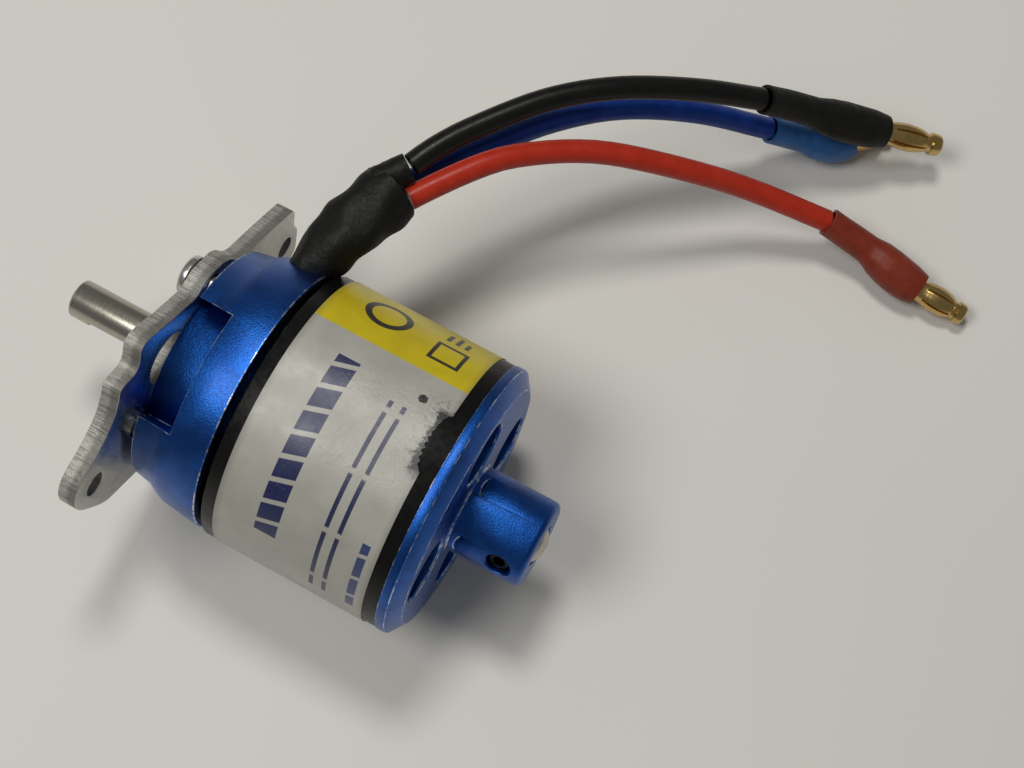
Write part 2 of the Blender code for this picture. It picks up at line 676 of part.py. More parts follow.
def make_clip_and_washer():
    """The open clip in the shaft's groove, and the washer between bell and rear bearing."""
    opening = math.radians(35.0)
    outline = []
    for radius, turns in ((CLIP_R, range(0, 25)), (CLIP_BORE_R, range(24, -1, -1))):
        for i in turns:
            turn = opening + (math.tau - 2 * opening) * i / 24
            outline.append((radius * math.cos(turn), radius * math.sin(turn)))
    clip = prism_mesh("retaining_clip", outline, *CLIP_STATIONS)
    add_part("retaining_clip", clip, MATERIALS["black_steel"], ROTOR_AXIS)
    profile = ((SHAFT_BORE_R, 20.25), (3.6, 20.25), (3.6, 19.25), (SHAFT_BORE_R, 19.25))
    turned("spacer_washer", profile, SMALL_STEPS, MATERIALS["brass"], ROTOR_AXIS, True)


# --------------------------------------------------------------------- leads
def make_bullet(name, end, tip):
    """A gold bullet plug from the end of its heat-shrink to its nose."""
    start = Vector(end)
    direction = (Vector(tip) - start).normalized()
    start = start + direction * JOINT_GAP
    length = (Vector(tip) - start).length
    scale = length / BULLET_LENGTH
    profile = ((0.0, 7.6), (1.1, 7.6), (1.45, 7.25), (1.5, 6.5), (1.35, 5.9), (1.55, 5.2),
               (1.82, 4.0), (1.78, 2.8), (1.5, 1.7), (1.5, 0.9), (1.75, 0.8), (1.75, 0.0), (0.0, 0.0))
    profile = tuple((radius, station * scale) for radius, station in profile)
    bullet = turned(name, profile, 16, MATERIALS["gold_plate"], None, False)
    bullet.location = start * 0.001
    bullet.rotation_euler = direction.to_track_quat("Z", "Y").to_euler()
    baked(bullet)


def make_leads():
    add_tube("lead_sleeve", SLEEVE_ROUTE, SLEEVE_RADII, 9, MATERIALS["black_heat_shrink"])
    add_tube("black_lead_inner_sleeve", INNER_SLEEVE_ROUTE, (1.8, 1.8), 2,
             MATERIALS["black_heat_shrink"])
    leads = (("black", BLACK_ROUTE, BLACK_PLUG, BLACK_TIP), ("blue", BLUE_ROUTE, BLUE_PLUG, BLUE_TIP),
             ("red", RED_ROUTE, RED_PLUG, RED_TIP))
    for color, route, plug, tip in leads:
        add_tube(f"lead_{color}", route, (WIRE_R, WIRE_R), 15, MATERIALS[f"{color}_silicone"])
        add_tube(f"plug_sleeve_{color}", plug, PLUG_RADII, 7, MATERIALS[f"{color}_heat_shrink"])
        make_bullet(f"bullet_{color}", plug[-1], tip)


# --------------------------------------------------------------------- build
clear_scene()
PARTS = new_collection("brushless_outrunner_motor", False)
CUTTERS = new_collection("cutters", True)
MATERIALS = {
    "bare_aluminium": new_material("bare_aluminium", (0.62, 0.61, 0.58), 1.0, 0.38),
    "zinc_steel": new_material("zinc_steel", (0.60, 0.60, 0.58), 1.0, 0.30),
    "blue_anodised": new_material("blue_anodised", (0.01, 0.07, 0.42), 0.9, 0.30),
    "laminated_steel": new_material("laminated_steel", (0.20, 0.20, 0.21), 0.8, 0.50),
    "copper_enamel": new_material("copper_enamel", (0.55, 0.20, 0.07), 0.9, 0.35),
    "bearing_steel": new_material("bearing_steel", (0.65, 0.65, 0.65), 1.0, 0.20),
    "ground_steel": new_material("ground_steel", (0.58, 0.56, 0.54), 1.0, 0.22),
    "black_steel": new_material("black_steel", (0.02, 0.02, 0.02), 0.6, 0.40),
    "magnet_nickel": new_material("magnet_nickel", (0.50, 0.49, 0.46), 1.0, 0.30),
    "label_paper": new_material("label_paper", (0.75, 0.74, 0.70), 0.0, 0.45),
    "brass": new_material("brass", (0.70, 0.52, 0.22), 1.0, 0.30),
    "gold_plate": new_material("gold_plate", (0.80, 0.58, 0.22), 1.0, 0.22),
    "black_silicone": new_material("black_silicone", (0.01, 0.01, 0.01), 0.0, 0.35),
    "blue_silicone": new_material("blue_silicone", (0.01, 0.05, 0.45), 0.0, 0.35),
    "red_silicone": new_material("red_silicone", (0.55, 0.03, 0.01), 0.0, 0.35),
    "black_heat_shrink": new_material("black_heat_shrink", (0.012, 0.012, 0.012), 0.0, 0.50),
    "blue_heat_shrink": new_material("blue_heat_shrink", (0.03, 0.16, 0.50), 0.0, 0.40),
    "red_heat_shrink": new_material("red_heat_shrink", (0.30, 0.05, 0.02), 0.0, 0.50),
}
FIXED_AXIS = new_axis("fixed_axis")
ROTOR_AXIS = new_axis("rotor_axis")

make_plate()
make_mount_screws()
make_base()
make_core()
make_coils()
make_bearing("front", FRONT_BEARING)
make_bearing("rear", REAR_BEARING)
make_shaft()
make_bell_cap()
make_grub_screw()
make_ring()
make_magnets()
make_label()
make_clip_and_washer()
make_leads()
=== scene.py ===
"""Looks of the brushless outrunner motor: camera, light, leads, turned parts and materials.

Sizes in the tables are millimetres; mm() turns them into metres. A station is a
distance along the motor's axis from the front edge of the wrap-round label.
Pieces on the motor's axis have local Z along it towards the hub and local X down.
"""

import math

import bmesh
import bpy
from mathutils import Matrix, Vector


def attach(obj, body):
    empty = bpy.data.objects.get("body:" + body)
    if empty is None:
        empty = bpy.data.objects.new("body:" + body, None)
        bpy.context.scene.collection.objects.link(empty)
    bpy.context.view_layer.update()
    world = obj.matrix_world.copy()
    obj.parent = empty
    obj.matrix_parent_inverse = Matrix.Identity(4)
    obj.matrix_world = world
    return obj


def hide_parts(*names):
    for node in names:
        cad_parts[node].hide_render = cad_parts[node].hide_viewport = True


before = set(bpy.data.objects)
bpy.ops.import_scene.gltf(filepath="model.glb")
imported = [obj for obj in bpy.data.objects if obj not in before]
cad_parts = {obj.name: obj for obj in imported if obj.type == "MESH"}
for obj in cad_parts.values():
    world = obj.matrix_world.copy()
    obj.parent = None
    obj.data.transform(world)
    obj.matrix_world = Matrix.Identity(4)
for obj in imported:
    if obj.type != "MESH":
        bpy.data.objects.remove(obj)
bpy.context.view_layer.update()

AXIS_HEIGHT = 17.93
AXIS_OFFSET = -2.2
CLOCKING = 190.1
LABEL_R = 17.93
MM_PER_DEGREE = math.radians(1.0) * LABEL_R
WIRE_R = 1.5
SHARP_ANGLE = 28.0
TURNED_STEPS = 160
POCKET_ANGLES = (4.5, 184.5)
POCKET_FLOOR_R = 10.9
POCKET_HALF_WIDTH = 7.75
LEAD_HOLE_STATION = -5.3
LEAD_HOLE_ANGLE = -73.5
VENT_CIRCLE_R = 10.8
VENT_ANGLES = (55.0, 145.0, 235.0, 325.0)
GRUB_STATION = 31.4
GRUB_ANGLE = 53.0
DRIVE_FLAT_ANGLE = 98.0
LABEL_WIDTH = 20.3
LABEL_INNER_R = 17.83
LABEL_START = -138.7
LABEL_END = 205.9
TEAR_START = -27.0
TEAR_END = -3.0

# Routes, in world millimetres, from the motor to the loose end.
SLEEVE_ROUTE = ((-7.5, 12.6, 24.3), (-7.4, 15.4, 25.7), (-6.6, 18.3, 26.8), (-5.6, 21.3, 27.2),
                (-4.7, 24.6, 27.1), (-3.7, 28.2, 26.6))
SLEEVE_RADII = (2.3, 2.75, 3.25, 3.5, 3.6, 3.75)
INNER_SLEEVE_ROUTE = ((-4.3, 29.7, 28.1), (-3.0, 31.5, 28.3))
BLACK_ROUTE = ((-2.8, 31.9, 28.4), (-1.3, 35.2, 28.5), (1.4, 39.8, 28.2), (7.3, 47.7, 27.5),
               (14.0, 54.0, 26.0), (22.2, 60.1, 22.5), (29.6, 65.0, 18.2))
BLUE_ROUTE = ((-4.3, 29.2, 24.2), (-1.1, 34.4, 23.7), (1.8, 38.9, 23.2), (7.6, 47.3, 21.8),
              (14.3, 54.7, 19.0), (22.7, 60.8, 15.0), (31.3, 66.1, 8.7))
RED_ROUTE = ((-1.5, 28.6, 26.2), (0.5, 31.7, 26.2), (3.5, 36.0, 26.0), (6.5, 39.7, 25.3),
             (11.8, 44.5, 23.2), (17.5, 48.2, 20.9), (26.7, 52.8, 16.0), (34.0, 56.0, 11.5),
             (43.9, 58.9, 6.6))
BLACK_PLUG = ((29.9, 65.2, 18.0), (34.1, 68.0, 14.5), (40.0, 71.0, 10.5), (45.1, 73.4, 8.2))
BLUE_PLUG = ((31.6, 66.3, 8.4), (36.3, 69.0, 5.1), (39.6, 70.9, 3.3), (41.6, 72.6, 2.85))
RED_PLUG = ((44.2, 59.0, 6.4), (50.7, 58.8, 4.3), (56.0, 57.8, 3.4), (59.0, 57.5, 3.1))
PLUG_RADII = (1.95, 1.95, 1.97, 2.0, 2.05, 2.5, 2.68, 2.66, 2.6, 2.2)
TIPS = {"black": (52.6, 76.3, 5.8), "blue": (45.5, 77.1, 2.15), "red": (65.9, 57.4, 2.1)}
BULLET_LENGTH = 7.6


def mm(value):
    return value * 0.001


AXIS = (Matrix.Translation((mm(AXIS_OFFSET), 0.0, mm(AXIS_HEIGHT)))
        @ Matrix.Rotation(math.pi / 2, 4, "Y"))


# ------------------------------------------------------------ camera and light
def make_camera():
    data = bpy.data.cameras.new("camera")
    data.lens = 64.595
    data.sensor_width = 36.0
    data.clip_start = 0.01
    camera = bpy.data.objects.new("camera", data)
    bpy.context.scene.collection.objects.link(camera)
    right = Vector((0.8764, 0.4815, 0.0))
    up = Vector((-0.4626, 0.8420, 0.2773))
    back = Vector((0.1336, -0.2430, 0.9608))
    turn = Matrix((right, up, back)).transposed().to_4x4()
    camera.matrix_world = Matrix.Translation((0.0499, -0.0388, 0.23513)) @ turn
    bpy.context.scene.camera = camera


def make_light(name, direction, distance, size, power, color):
    data = bpy.data.lights.new(name, "AREA")
    data.shape = "DISK"
    data.size = size
    data.energy = power
    data.color = color
    light = bpy.data.objects.new(name, data)
    bpy.context.scene.collection.objects.link(light)
    toward = Vector(direction).normalized()
    light.matrix_world = (Matrix.Translation(toward * distance + Vector((0.02, 0.02, 0.02)))
                          @ toward.to_track_quat("Z", "Y").to_matrix().to_4x4())


def make_world(color, strength):
    world = bpy.data.worlds.new("studio")
    bpy.context.scene.world = world
    world.use_nodes = True
    background = world.node_tree.nodes["Background"]
    background.inputs["Color"].default_value = (*color, 1.0)
    background.inputs["Strength"].default_value = strength


# ------------------------------------------------------------- node helpers
def new_material(name, color, metallic=0.0, roughness=0.5):
    material = bpy.data.materials.new(name)
    material.use_nodes = True
    tree = material.node_tree
    shader = tree.nodes["Principled BSDF"]
    shader.inputs["Base Color"].default_value = (*color, 1.0)
    shader.inputs["Metallic"].default_value = metallic
    shader.inputs["Roughness"].default_value = roughness
    return material, tree, shader


def put(tree, kind, links, **settings):
    node = tree.nodes.new(kind)
    for key, value in settings.items():
        setattr(node, key, value)
    for key, value in links.items():
        if isinstance(value, bpy.types.NodeSocket):
            tree.links.new(value, node.inputs[key])
        else:
            node.inputs[key].default_value = value
    return node


def calc(tree, operation, first, second=0.0, clamp=False):
    return put(tree, "ShaderNodeMath", {0: first, 1: second}, operation=operation,
               use_clamp=clamp).outputs[0]


def place_mm(tree, stretch=(1.0, 1.0, 1.0)):
    """Object coordinates in millimetres, each axis multiplied by its stretch."""
    coords = put(tree, "ShaderNodeTexCoord", {})
    scale = [1000.0 * part for part in stretch]
    return put(tree, "ShaderNodeMapping", {"Vector": coords.outputs["Object"], "Scale": scale}).outputs[0]


def noise(tree, vector, scale, detail=3.0, rough=0.55):
    return put(tree, "ShaderNodeTexNoise", {"Vector": vector, "Scale": scale, "Detail": detail,
                                            "Roughness": rough}).outputs[0]


def between(tree, value, low, high, bottom=0.0, top=1.0):
    """value spread from low…high to bottom…top, and held there outside."""
    return put(tree, "ShaderNodeMapRange", {"Value": value, "From Min": low, "From Max": high,
                                            "To Min": bottom, "To Max": top}, clamp=True).outputs[0]


def mixed(tree, factor, first, second):
    node = put(tree, "ShaderNodeMix", {}, data_type="RGBA")
    for socket, value in ((node.inputs[0], factor), (node.inputs[6], first), (node.inputs[7], second)):
        if isinstance(value, bpy.types.NodeSocket):
            tree.links.new(value, socket)
        elif isinstance(value, tuple):
            socket.default_value = (*value, 1.0)
        else:
            socket.default_value = value
    return node.outputs[2]


def bumped(tree, height, distance, strength=1.0, normal=None):
    """distance is the height of the bumps in millimetres."""
    links = {"Height": height, "Distance": mm(distance), "Strength": strength}
    if normal is not None:
        links["Normal"] = normal
    return put(tree, "ShaderNodeBump", links).outputs[0]


def band(tree, value, low, high, soft):
    """1 between low and high, falling to 0 over soft."""
    rise = between(tree, value, low - soft, low)
    fall = between(tree, value, high, high + soft, 1.0, 0.0)
    return calc(tree, "MULTIPLY", rise, fall)


def wire(tree, shader, **sockets):
    for name, value in sockets.items():
        target = shader.inputs[name.replace("_", " ")]
        if isinstance(value, bpy.types.NodeSocket):
            tree.links.new(value, target)
        else:
            target.default_value = value


# ---------------------------------------------------------------- materials
def blue_anodised(name, deep, bright, low_rough, high_rough):
    """Bead-blasted, blue anodised aluminium with faint cloudiness, grain and small nicks."""
    material, tree, shader = new_material(name, bright, 1.0, 0.32)
    place = place_mm(tree)
    cloud = noise(tree, place, 0.25, 4.0)
    grain = noise(tree, place, 4.0, 2.0, 0.8)
    color = mixed(tree, between(tree, cloud, 0.35, 0.65), deep, bright)
    nick = between(tree, noise(tree, place, 1.6, 5.0, 0.7), 0.735, 0.76)
    color = mixed(tree, calc(tree, "MULTIPLY", nick, 0.7), color, (0.45, 0.52, 0.66))
    rough = between(tree, noise(tree, place, 2.2, 3.0), 0.3, 0.7, low_rough, high_rough)
    fine = bumped(tree, grain, 0.06, 0.9)
    wire(tree, shader, Base_Color=color, Roughness=rough, Normal=fine, Coat_Weight=0.3,
         Coat_Roughness=0.34)
    return material


def worn_edge(name, base, bare, share):
    """The edge of a coated part, rubbed through to bare metal in places."""
    material, tree, shader = new_material(name, base, 1.0, 0.35)
    place = place_mm(tree)
    rub = between(tree, noise(tree, place, 0.7, 5.0, 0.7), 0.62 - share, 0.70 - share)
    color = mixed(tree, rub, base, bare)
    rough = between(tree, noise(tree, place, 5.0), 0.3, 0.7, 0.25, 0.45)
    wire(tree, shader, Base_Color=color, Roughness=rough)
    return material


def plate_metal():
    """Stamped aluminium: faint lengthwise haze on the faces, shear streaks on the cut edges."""
    material, tree, shader = new_material("plate_aluminium", (0.62, 0.60, 0.57), 1.0, 0.34)
    place = place_mm(tree)
    across = place_mm(tree, (1.0, 1.0, 0.08))
    geometry = put(tree, "ShaderNodeTexCoord", {})
    split = put(tree, "ShaderNodeSeparateXYZ", {"Vector": geometry.outputs["Normal"]})
    edge = between(tree, calc(tree, "ABSOLUTE", split.outputs[2]), 0.75, 0.4)
    height = put(tree, "ShaderNodeSeparateXYZ", {"Vector": place}).outputs[2]
    # torn marks the rear half of the plate's thickness with a ragged border, and the edge walls are darkened
    # over that half
    torn = between(tree, calc(tree, "ADD", height, calc(tree, "MULTIPLY", noise(tree, across, 1.5), 0.8)),
                   0.2, 0.7)
    streak = noise(tree, across, 3.2, 5.0, 0.75)
    cloud = noise(tree, place, 0.35, 4.0)
    color = mixed(tree, between(tree, cloud, 0.3, 0.7), (0.50, 0.488, 0.45), (0.66, 0.645, 0.60))
    rear_edge_darkening = calc(tree, "MULTIPLY", calc(tree, "MULTIPLY", edge, torn), 0.62)
    color = mixed(tree, rear_edge_darkening, color, (0.16, 0.15, 0.14))
    dark_streak = calc(tree, "MULTIPLY", edge, between(tree, streak, 0.45, 0.65, 0.0, 0.8))
    color = mixed(tree, dark_streak, color, (0.2, 0.19, 0.18))
    scratch = between(tree, noise(tree, place_mm(tree, (0.1, 3.0, 1.0)), 1.4, 4.0), 0.45, 0.75, 0.0, 0.12)
    rough = calc(tree, "ADD", between(tree, cloud, 0.3, 0.7, 0.24, 0.36), scratch)
    rough = calc(tree, "ADD", rough, calc(tree, "MULTIPLY", edge, 0.22))
    pits = noise(tree, place, 1.8, 5.0, 0.75)
    rugged = calc(tree, "MULTIPLY", calc(tree, "ADD", streak, pits), edge)
    bump = bumped(tree, rugged, 0.14, 0.9)
    bump = bumped(tree, noise(tree, place, 6.0), 0.003, 0.3, bump)
    wire(tree, shader, Base_Color=color, Roughness=rough, Normal=bump)
    return material


def steel(name, color, low_rough, high_rough, lines, stain=0.25):
    """Ground or plated steel with fine rings round its own Z axis, and a little staining."""
    material, tree, shader = new_material(name, color, 1.0, low_rough)
    place = place_mm(tree)
    rings = noise(tree, place_mm(tree, (0.06, 0.06, 1.0)), lines, 4.0, 0.7)
    cloud = noise(tree, place, 0.5, 4.0)
    dark = tuple(part * 0.55 for part in color)
    tone = mixed(tree, between(tree, cloud, 0.45, 0.8, 0.0, stain), color, dark)
    tone = mixed(tree, between(tree, rings, 0.4, 0.7, 0.0, 0.3), tone, dark)
    rough = between(tree, rings, 0.3, 0.7, low_rough, high_rough)
    wire(tree, shader, Base_Color=tone, Roughness=rough, Normal=bumped(tree, rings, 0.004, 0.5))
    return material


def rubber(name, deep, bright, low_rough, high_rough, lump, coat=0.0):
    """Silicone or shrink tube: slight mottling, dust, and fine unevenness."""
    material, tree, shader = new_material(name, bright, 0.0, low_rough)
    place = place_mm(tree)
    cloud = noise(tree, place, 0.6, 4.0)
    color = mixed(tree, between(tree, cloud, 0.3, 0.7), deep, bright)
    dust = between(tree, noise(tree, place, 3.6, 6.0, 0.8), 0.68, 0.80, 0.0, 0.22)
    color = mixed(tree, dust, color, (0.32, 0.30, 0.28))
    rough = between(tree, noise(tree, place, 1.7, 4.0), 0.3, 0.7, low_rough, high_rough)
    bump = bumped(tree, noise(tree, place, 0.9, 4.0, 0.6), lump, 0.7)
    bump = bumped(tree, noise(tree, place, 9.0), 0.008, 0.35, bump)
    wire(tree, shader, Base_Color=color, Roughness=rough, Normal=bump, Coat_Weight=coat,
         Coat_Roughness=0.2, Specular_IOR_Level=0.24)
    return material


def black_ring_metal():
    """Black oxide steel, semi-gloss, with pale scuffs."""
    material, tree, shader = new_material("ring_black_oxide", (0.012, 0.012, 0.013), 0.0, 0.3)
    place = place_mm(tree)
    scuff = between(tree, noise(tree, place, 1.9, 6.0, 0.75), 0.64, 0.72, 0.0, 0.5)
    color = mixed(tree, scuff, (0.003, 0.003, 0.003), (0.05, 0.05, 0.05))
    rough = between(tree, noise(tree, place, 1.2, 4.0), 0.3, 0.7, 0.24, 0.42)
    wire(tree, shader, Base_Color=color, Roughness=rough, Specular_IOR_Level=0.24,
         Normal=bumped(tree, noise(tree, place, 4.0), 0.012, 0.4))
    return material


def label_paper():
    """Printed label: white and yellow fields with plain bars, a ring and a square, stained by use."""
    material, tree, shader = new_material("label_print", (0.6, 0.58, 0.53), 0.0, 0.38)
    uv = put(tree, "ShaderNodeSeparateXYZ",
             {"Vector": put(tree, "ShaderNodeUVMap", {}, uv_map="around_and_along").outputs[0]})
    around, along = uv.outputs[0], uv.outputs[1]
    place = place_mm(tree)
    cloud = noise(tree, place, 0.22, 5.0, 0.6)
    paper = mixed(tree, between(tree, cloud, 0.35, 0.7), (0.42, 0.41, 0.365), (0.35, 0.342, 0.305))
    fleck = between(tree, noise(tree, place, 3.2, 4.0, 0.7), 0.62, 0.74, 0.0, 0.5)
    paper = mixed(tree, fleck, paper, (0.20, 0.19, 0.17))
    yellow = mixed(tree, between(tree, cloud, 0.35, 0.7), (0.62, 0.49, 0.002), (0.52, 0.40, 0.002))
    yellow_field = between(tree, around, -39.3 * MM_PER_DEGREE, -39.1 * MM_PER_DEGREE, 1.0, 0.0)
    color = mixed(tree, yellow_field, paper, yellow)

    def bar(low, high, start, end, pitch, duty, slant):
        leaning = calc(tree, "ADD", around, calc(tree, "MULTIPLY", along, slant))
        rows = band(tree, along, low, high, 0.06)
        span = band(tree, around, start, end, 0.06)
        inside = calc(tree, "MULTIPLY", rows, span)
        if duty < 1.0:
            step = calc(tree, "FRACT", calc(tree, "DIVIDE", calc(tree, "ADD", leaning, 100.0), pitch))
            inside = calc(tree, "MULTIPLY", inside, band(tree, step, 0.04, duty, 0.03))
        return inside

    navy = (0.004, 0.010, 0.075)
    worn = between(tree, noise(tree, place, 2.4, 5.0, 0.7), 0.25, 0.45, 0.88, 1.0)
    for mark, ink in (
            (bar(5.3, 8.1, -8.8, 15.6, 3.05, 0.80, 0.30), navy),
            (bar(13.2, 13.7, -6.6, 21.0, 7.9, 0.92, 0.0), (0.012, 0.018, 0.07)),
            (bar(14.9, 15.4, -6.6, 21.0, 7.9, 0.92, 0.0), (0.012, 0.018, 0.07)),
            (bar(18.1, 19.1, 9.6, 21.0, 3.6, 0.86, 0.2), (0.03, 0.05, 0.15)),
            (bar(14.0, 14.5, -22.4, -20.0, 1.0, 1.0, 0.0), (0.02, 0.02, 0.015)),
            (bar(15.2, 15.7, -23.0, -20.0, 1.0, 1.0, 0.0), (0.02, 0.02, 0.015)),
            (bar(16.4, 16.9, -22.0, -20.0, 1.0, 1.0, 0.0), (0.02, 0.02, 0.015))):
        color = mixed(tree, calc(tree, "MULTIPLY", mark, worn), color, ink)
    ring_u = calc(tree, "ADD", around, 18.6)
    ring_v = calc(tree, "SUBTRACT", along, 6.9)
    distance = calc(tree, "SQRT", calc(tree, "ADD", calc(tree, "MULTIPLY", ring_u, ring_u),
                                       calc(tree, "MULTIPLY", ring_v, ring_v)))
    ring = band(tree, distance, 2.2, 3.0, 0.07)
    box_u = calc(tree, "ABSOLUTE", calc(tree, "ADD", around, 16.7))
    box_v = calc(tree, "ABSOLUTE", calc(tree, "SUBTRACT", along, 15.6))
    square = band(tree, calc(tree, "MAXIMUM", box_u, box_v), 1.6, 2.05, 0.05)
    for mark in (ring, square):
        color = mixed(tree, calc(tree, "MULTIPLY", mark, worn), color, (0.02, 0.02, 0.015))

    dot_u = calc(tree, "ADD", around, 8.7)
    dot_v = calc(tree, "SUBTRACT", along, 16.3)
    dot = calc(tree, "SQRT", calc(tree, "ADD", calc(tree, "MULTIPLY", dot_u, dot_u),
                                  calc(tree, "MULTIPLY", dot_v, dot_v)))
    dot = calc(tree, "ADD", dot, calc(tree, "MULTIPLY", noise(tree, place, 2.6), 0.5))
    soot = between(tree, dot, 0.72, 0.9, 1.0, 0.0)
    spray = band(tree, around, -9.2, -2.0, 2.0)
    spray = calc(tree, "MULTIPLY", spray, between(tree, along, 16.3, 20.0))
    spray = calc(tree, "MULTIPLY", spray, between(tree, noise(tree, place, 2.0, 5.0, 0.8), 0.52, 0.62))
    dirt = calc(tree, "MAXIMUM", soot, spray)
    frayed = calc(tree, "ADD", along, calc(tree, "MULTIPLY", noise(tree, place, 1.5, 6.0, 0.8), 3.0))
    torn = calc(tree, "MULTIPLY", between(tree, frayed, 20.1, 20.35), band(tree, around, -8.2, -0.9, 0.8))
    dirt = calc(tree, "MAXIMUM", dirt, torn)
    glue = calc(tree, "MULTIPLY", band(tree, around, -2.6, 0.1, 0.8), between(tree, along, 18.9, 19.5))
    glue = calc(tree, "MULTIPLY", glue, between(tree, noise(tree, place, 0.9, 4.0), 0.4, 0.55))
    color = mixed(tree, calc(tree, "MULTIPLY", glue, 0.8), color, (0.16, 0.155, 0.15))
    color = mixed(tree, dirt, color, (0.012, 0.012, 0.012))
    grime = calc(tree, "MAXIMUM", between(tree, along, 0.9, 0.0), between(tree, along, 19.5, 20.3))
    color = mixed(tree, calc(tree, "MULTIPLY", grime, 0.35), color, (0.09, 0.085, 0.075))

    crinkled = calc(tree, "MULTIPLY", band(tree, around, -9.5, 2.0, 3.0), band(tree, along, 9.0, 19.0, 3.0))
    crease = calc(tree, "MULTIPLY", noise(tree, place, 1.3, 4.0, 0.7), crinkled)
    bump = bumped(tree, crease, 0.16, 0.6)
    bump = bumped(tree, noise(tree, place, 5.0, 4.0), 0.012, 0.5, bump)
    rough = between(tree, noise(tree, place, 0.7, 4.0), 0.3, 0.7, 0.32, 0.46)
    wire(tree, shader, Base_Color=color, Roughness=rough, Normal=bump, Coat_Weight=0.4,
         Coat_Roughness=0.4)
    return material


def floor_sheet():
    """Plain warm-grey sheet with a faint unevenness."""
    material, tree, shader = new_material("pale_sheet", (0.55, 0.53, 0.51), 0.0, 0.6)
    place = place_mm(tree)
    cloud = noise(tree, place, 0.006, 3.0)
    color = mixed(tree, between(tree, cloud, 0.3, 0.7), (0.69, 0.675, 0.64), (0.73, 0.715, 0.68))
    fiber = noise(tree, place, 1.2, 4.0)
    wire(tree, shader, Base_Color=color, Normal=bumped(tree, fiber, 0.03, 0.25))
    return material


def windings():
    """Enamelled wire laid in close turns."""
    material, tree, shader = new_material("enamelled_wire", (0.45, 0.14, 0.04), 1.0, 0.3)
    place = place_mm(tree)
    turns = put(tree, "ShaderNodeTexWave", {"Vector": place, "Scale": 0.55, "Distortion": 0.6,
                                            "Detail": 2.0}, bands_direction="X").outputs[1]
    color = mixed(tree, turns, (0.16, 0.04, 0.012), (0.55, 0.20, 0.06))
    rough = between(tree, noise(tree, place, 2.0), 0.3, 0.7, 0.22, 0.4)
    wire(tree, shader, Base_Color=color, Roughness=rough, Normal=bumped(tree, turns, 0.15, 0.8))
    return material


# ------------------------------------------------------------------ geometry
def add_piece(name, data, materials, body, nodes, matrix=None, smooth=True):
    piece = bpy.data.objects.new(name, data)
    bpy.context.scene.collection.objects.link(piece)
    for material in materials:
        data.materials.append(material)
    if matrix is not None:
        piece.matrix_world = matrix
    if smooth and isinstance(data, bpy.types.Mesh):
        for polygon in data.polygons:
            polygon.use_smooth = True
    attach(piece, body)
    if nodes:
        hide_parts(*nodes)
    return piece


def lathe(name, profile, steps, closed=True):
    """A mesh turned from (radius, station) points; a radius of 0 closes on the axis."""
    mesh = bpy.data.meshes.new(name)
    work = bmesh.new()
    rows = []
    for radius, station in profile:
        if radius == 0.0:
            rows.append([work.verts.new((0.0, 0.0, mm(station)))])
            continue
        row = []
        for i in range(steps):
            turn = math.tau * i / steps
            place = (mm(radius) * math.cos(turn), mm(radius) * math.sin(turn), mm(station))
            row.append(work.verts.new(place))
        rows.append(row)
    pairs = list(zip(rows, rows[1:]))
    if closed:
        pairs.append((rows[-1], rows[0]))
    for first, second in pairs:
        for i in range(steps):
            j = (i + 1) % steps
            if len(first) == 1 and len(second) == 1:
                break
            if len(first) == 1:
                work.faces.new((first[0], second[j], second[i]))
            elif len(second) == 1:
                work.faces.new((first[i], first[j], second[0]))
            else:
                work.faces.new((first[i], first[j], second[j], second[i]))
    bmesh.ops.recalc_face_normals(work, faces=work.faces)
    work.to_mesh(mesh)
    work.free()
    return mesh


def prism(name, outline, low, high):
    mesh = bpy.data.meshes.new(name)
    work = bmesh.new()
    bottom = [work.verts.new((mm(x), mm(y), mm(low))) for x, y in outline]
    top = [work.verts.new((mm(x), mm(y), mm(high))) for x, y in outline]
    work.faces.new(bottom[::-1])
    work.faces.new(top)
    for i in range(len(outline)):
        j = (i + 1) % len(outline)
        work.faces.new((bottom[i], bottom[j], top[j], top[i]))
    bmesh.ops.recalc_face_normals(work, faces=work.faces)
    work.to_mesh(mesh)
    work.free()
    return mesh


def box(name, size):
    x, y, z = (part / 2 for part in size)
    return prism(name, ((-x, -y), (x, -y), (x, y), (-x, y)), -z, z)


def turn_to(angle):
    return Matrix.Rotation(math.radians(angle + CLOCKING), 4, "Z")


def radial(station, angle):
    """A frame on the axis whose own Z points out at an angle."""
    return (Matrix.Translation((0.0, 0.0, mm(station))) @ turn_to(angle)
            @ Matrix.Rotation(math.pi / 2, 4, "Y"))


def on_circle(radius, angle):
    """A shift to a place at a radius and an angle round the axis."""
    turn = math.radians(angle + CLOCKING)
    return Matrix.Translation((mm(radius) * math.cos(turn), mm(radius) * math.sin(turn), 0.0))


def shade_smooth(mesh):
    """Smooth faces, with the edges over SHARP_ANGLE kept sharp."""
    for polygon in mesh.polygons:
        polygon.use_smooth = True
    mesh.set_sharp_from_angle(angle=math.radians(SHARP_ANGLE))


def cut_out(body, shape, matrix):
    """Takes shape, placed by matrix, out of body; returns the tool, which goes when the cut is read."""
    tool = bpy.data.objects.new(body.name + "_tool", shape)
    tool.matrix_world = matrix
    bpy.context.scene.collection.objects.link(tool)
    boolean = body.modifiers.new("cut", "BOOLEAN")
    boolean.operation = "DIFFERENCE"
    boolean.solver = "EXACT"
    boolean.object = tool
    return tool


